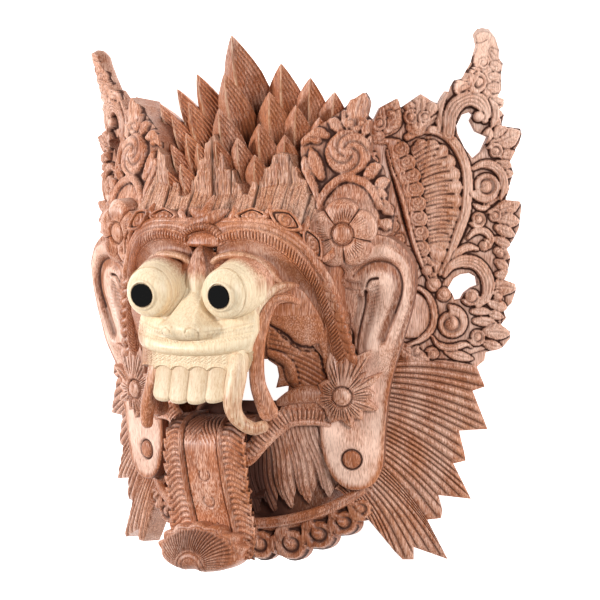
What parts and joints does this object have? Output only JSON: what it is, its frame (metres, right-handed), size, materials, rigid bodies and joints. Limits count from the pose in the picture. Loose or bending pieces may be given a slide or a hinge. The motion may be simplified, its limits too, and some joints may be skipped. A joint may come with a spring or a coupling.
{
  "type": "carved wooden witch mask",
  "caption": "Carved wooden witch mask with bulging eyes, tusks, a long curling tongue, a crown of spikes and pierced leaf-work wings, hollow behind and lying on its back.",
  "frame": {"origin": "middle of the mask's outline, on the floor plane of its flat rear rim", "axes": "+X towards the mask's own left ear, +Y towards its crown, +Z the way the face looks, which is up as it lies on its back"},
  "size_m": [0.3706, 0.3912, 0.192],
  "materials": {
    "wood": "hand-carved reddish brown wood with a soft wax sheen, cream sapwood over the eyes, nose, lip and teeth",
    "pupil": "glossy black lacquer"
  },
  "bodies": {
    "root": {"mask": "wood", "pupil_left": "pupil", "pupil_right": "pupil"}
  },
  "joints": []
}
